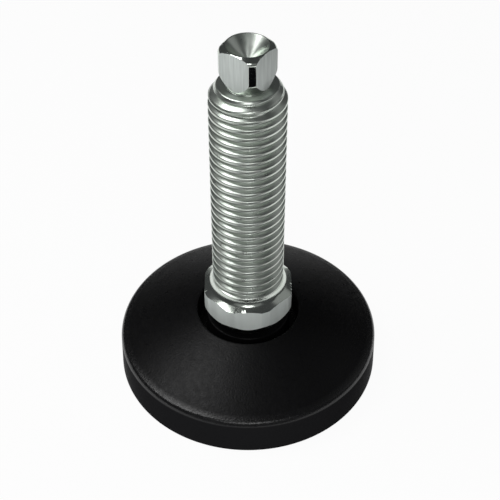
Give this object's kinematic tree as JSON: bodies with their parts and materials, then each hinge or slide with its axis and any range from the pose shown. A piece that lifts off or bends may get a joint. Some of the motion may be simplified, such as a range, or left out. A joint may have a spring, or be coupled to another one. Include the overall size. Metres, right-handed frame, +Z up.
{
  "type": "articulated levelling foot",
  "caption": "Levelling foot: a threaded steel stud with a square drive and a spanner collar, whose ball end turns and tilts in a round conical plastic base.",
  "frame": {"origin": "centre of the base's lower face, on the floor", "axes": "+Z up along the stud, +X to the right and -Y towards the viewer in the picture"},
  "size_m": [0.06, 0.06, 0.0855],
  "materials": {
    "nylon": "fine moulded grain",
    "spring_steel": "plain drawn wire",
    "zinc_steel": "bright zinc plating"
  },
  "bodies": {
    "base": {"base": "nylon"},
    "ring": {"retaining_ring": "spring_steel"},
    "stud": {"stud": "zinc_steel"}
  },
  "joints": [
    {"name": "swivel", "type": "hinge", "parent": "base", "child": "ring", "pos_m": [0, 0, 0.01015], "axis": [0, 0, 1], "continuous": true},
    {"name": "tilt", "type": "hinge", "parent": "ring", "child": "stud", "pos_m": [0, 0, 0.01015], "axis": [1, 0, 0], "range_deg": [-10, 10]}
  ]
}
